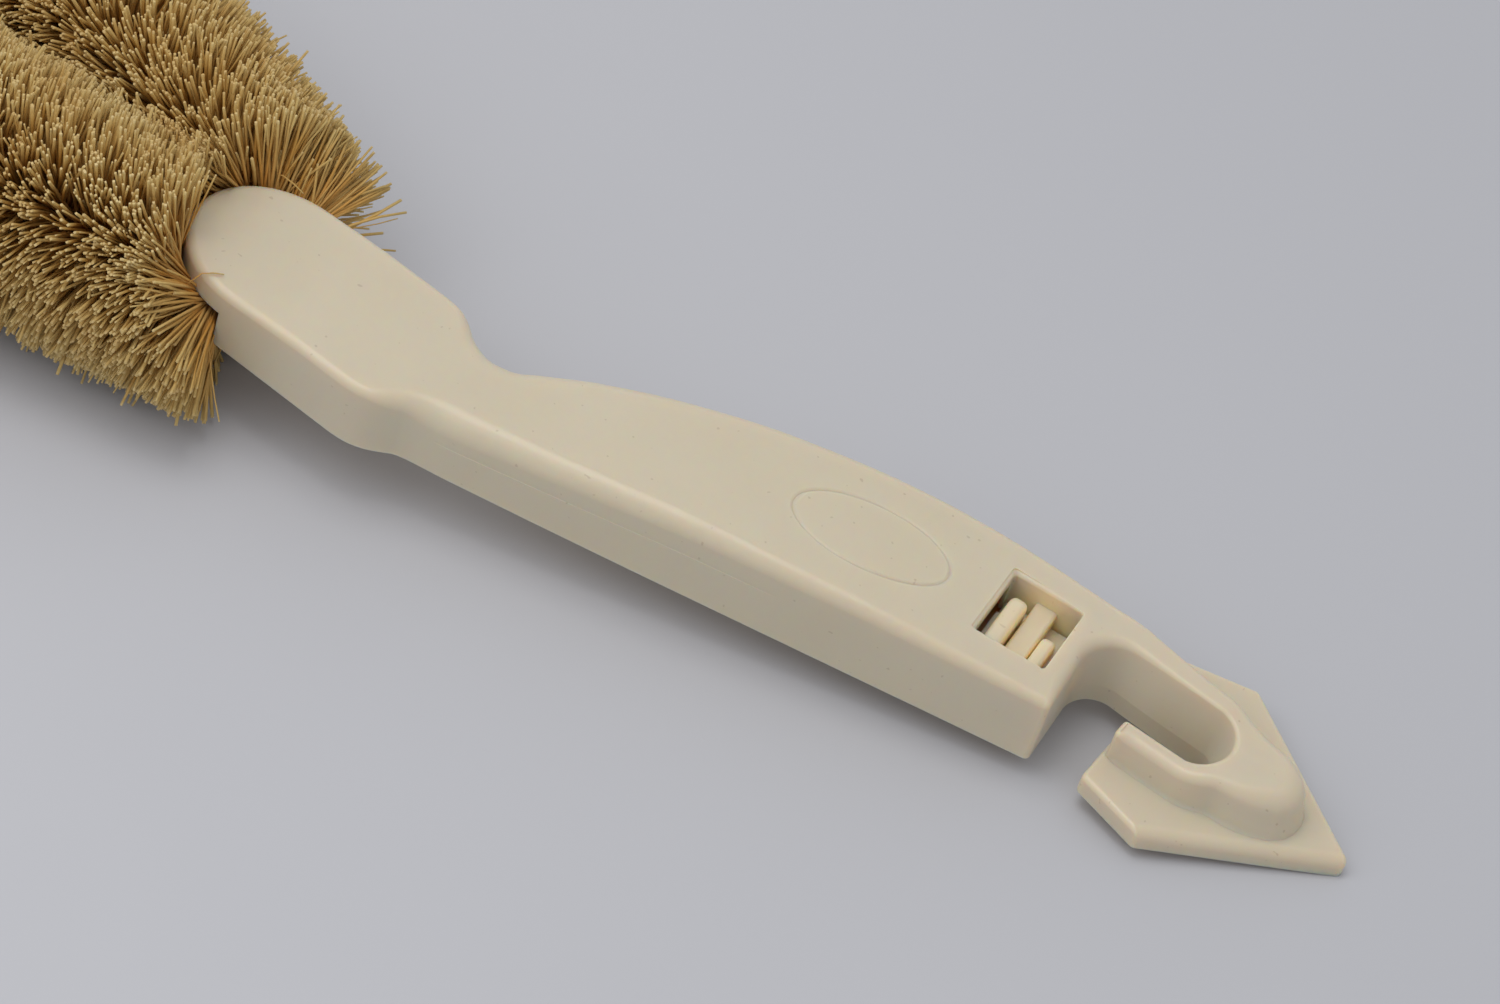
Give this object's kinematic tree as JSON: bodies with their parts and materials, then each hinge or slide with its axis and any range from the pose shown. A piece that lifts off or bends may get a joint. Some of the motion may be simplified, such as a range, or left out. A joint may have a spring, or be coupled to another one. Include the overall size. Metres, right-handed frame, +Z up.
{
  "type": "palm shoe brush",
  "caption": "Shoe brush with two side-by-side palm fibre cylinders on a twisted wire loop, and a plastic handle with a hook slot and an arrow-shaped scraper tip.",
  "frame": {"origin": "middle of the bounding box's base, on the table that the brush lies on", "axes": "+X from the bristles towards the scraper's tip, +Y towards the handle's curved side, +Z up"},
  "size_m": [0.2464, 0.062, 0.0367],
  "materials": {
    "cream_plastic": "satin",
    "cover_plastic": "satin",
    "galvanised_wire": "satin",
    "palm_fibre": "matte"
  },
  "bodies": {
    "root": {"handle_body": "cream_plastic", "base_cover": "cover_plastic", "stem_wire_a": "galvanised_wire", "stem_wire_b": "galvanised_wire", "palm_bristles_01": "palm_fibre", "palm_bristles_02": "palm_fibre", "palm_bristles_03": "palm_fibre", "palm_bristles_04": "palm_fibre", "palm_bristles_05": "palm_fibre", "palm_bristles_06": "palm_fibre", "palm_bristles_07": "palm_fibre", "palm_bristles_08": "palm_fibre", "palm_bristles_09": "palm_fibre", "palm_bristles_10": "palm_fibre", "palm_bristles_11": "palm_fibre", "palm_bristles_12": "palm_fibre"}
  },
  "joints": []
}
